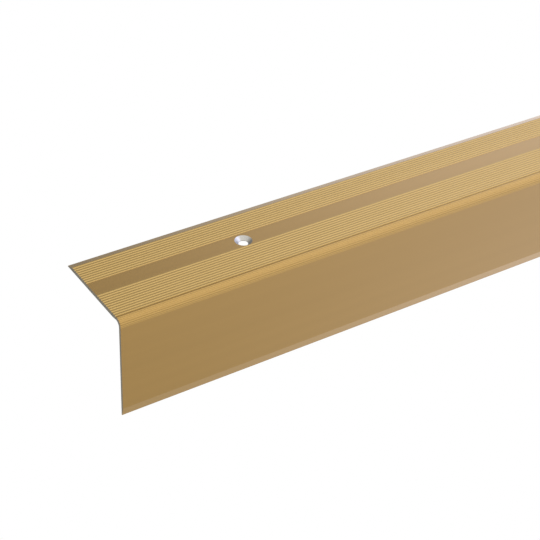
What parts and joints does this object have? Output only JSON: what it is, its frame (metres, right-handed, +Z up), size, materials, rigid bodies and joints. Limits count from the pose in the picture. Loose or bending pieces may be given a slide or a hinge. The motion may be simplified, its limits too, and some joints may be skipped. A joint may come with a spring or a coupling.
{
  "type": "stair nosing",
  "caption": "Extruded gold anodised aluminium angle that caps a stair edge: ribbed tread leg with countersunk screw holes in a plain band, finely grooved round nose, smooth riser leg.",
  "frame": {"origin": "middle of the length and of the width, at floor level, with the piece lying nose up on its two long thin edges", "axes": "+X along the length, +Y towards the ribbed tread leg (the riser leg is on the -Y side), +Z up through the nose"},
  "size_m": [1, 0.057, 0.0292],
  "materials": {
    "gold_anodised": "satin gold anodised"
  },
  "bodies": {
    "root": {"nosing_profile": "gold_anodised"}
  },
  "joints": []
}
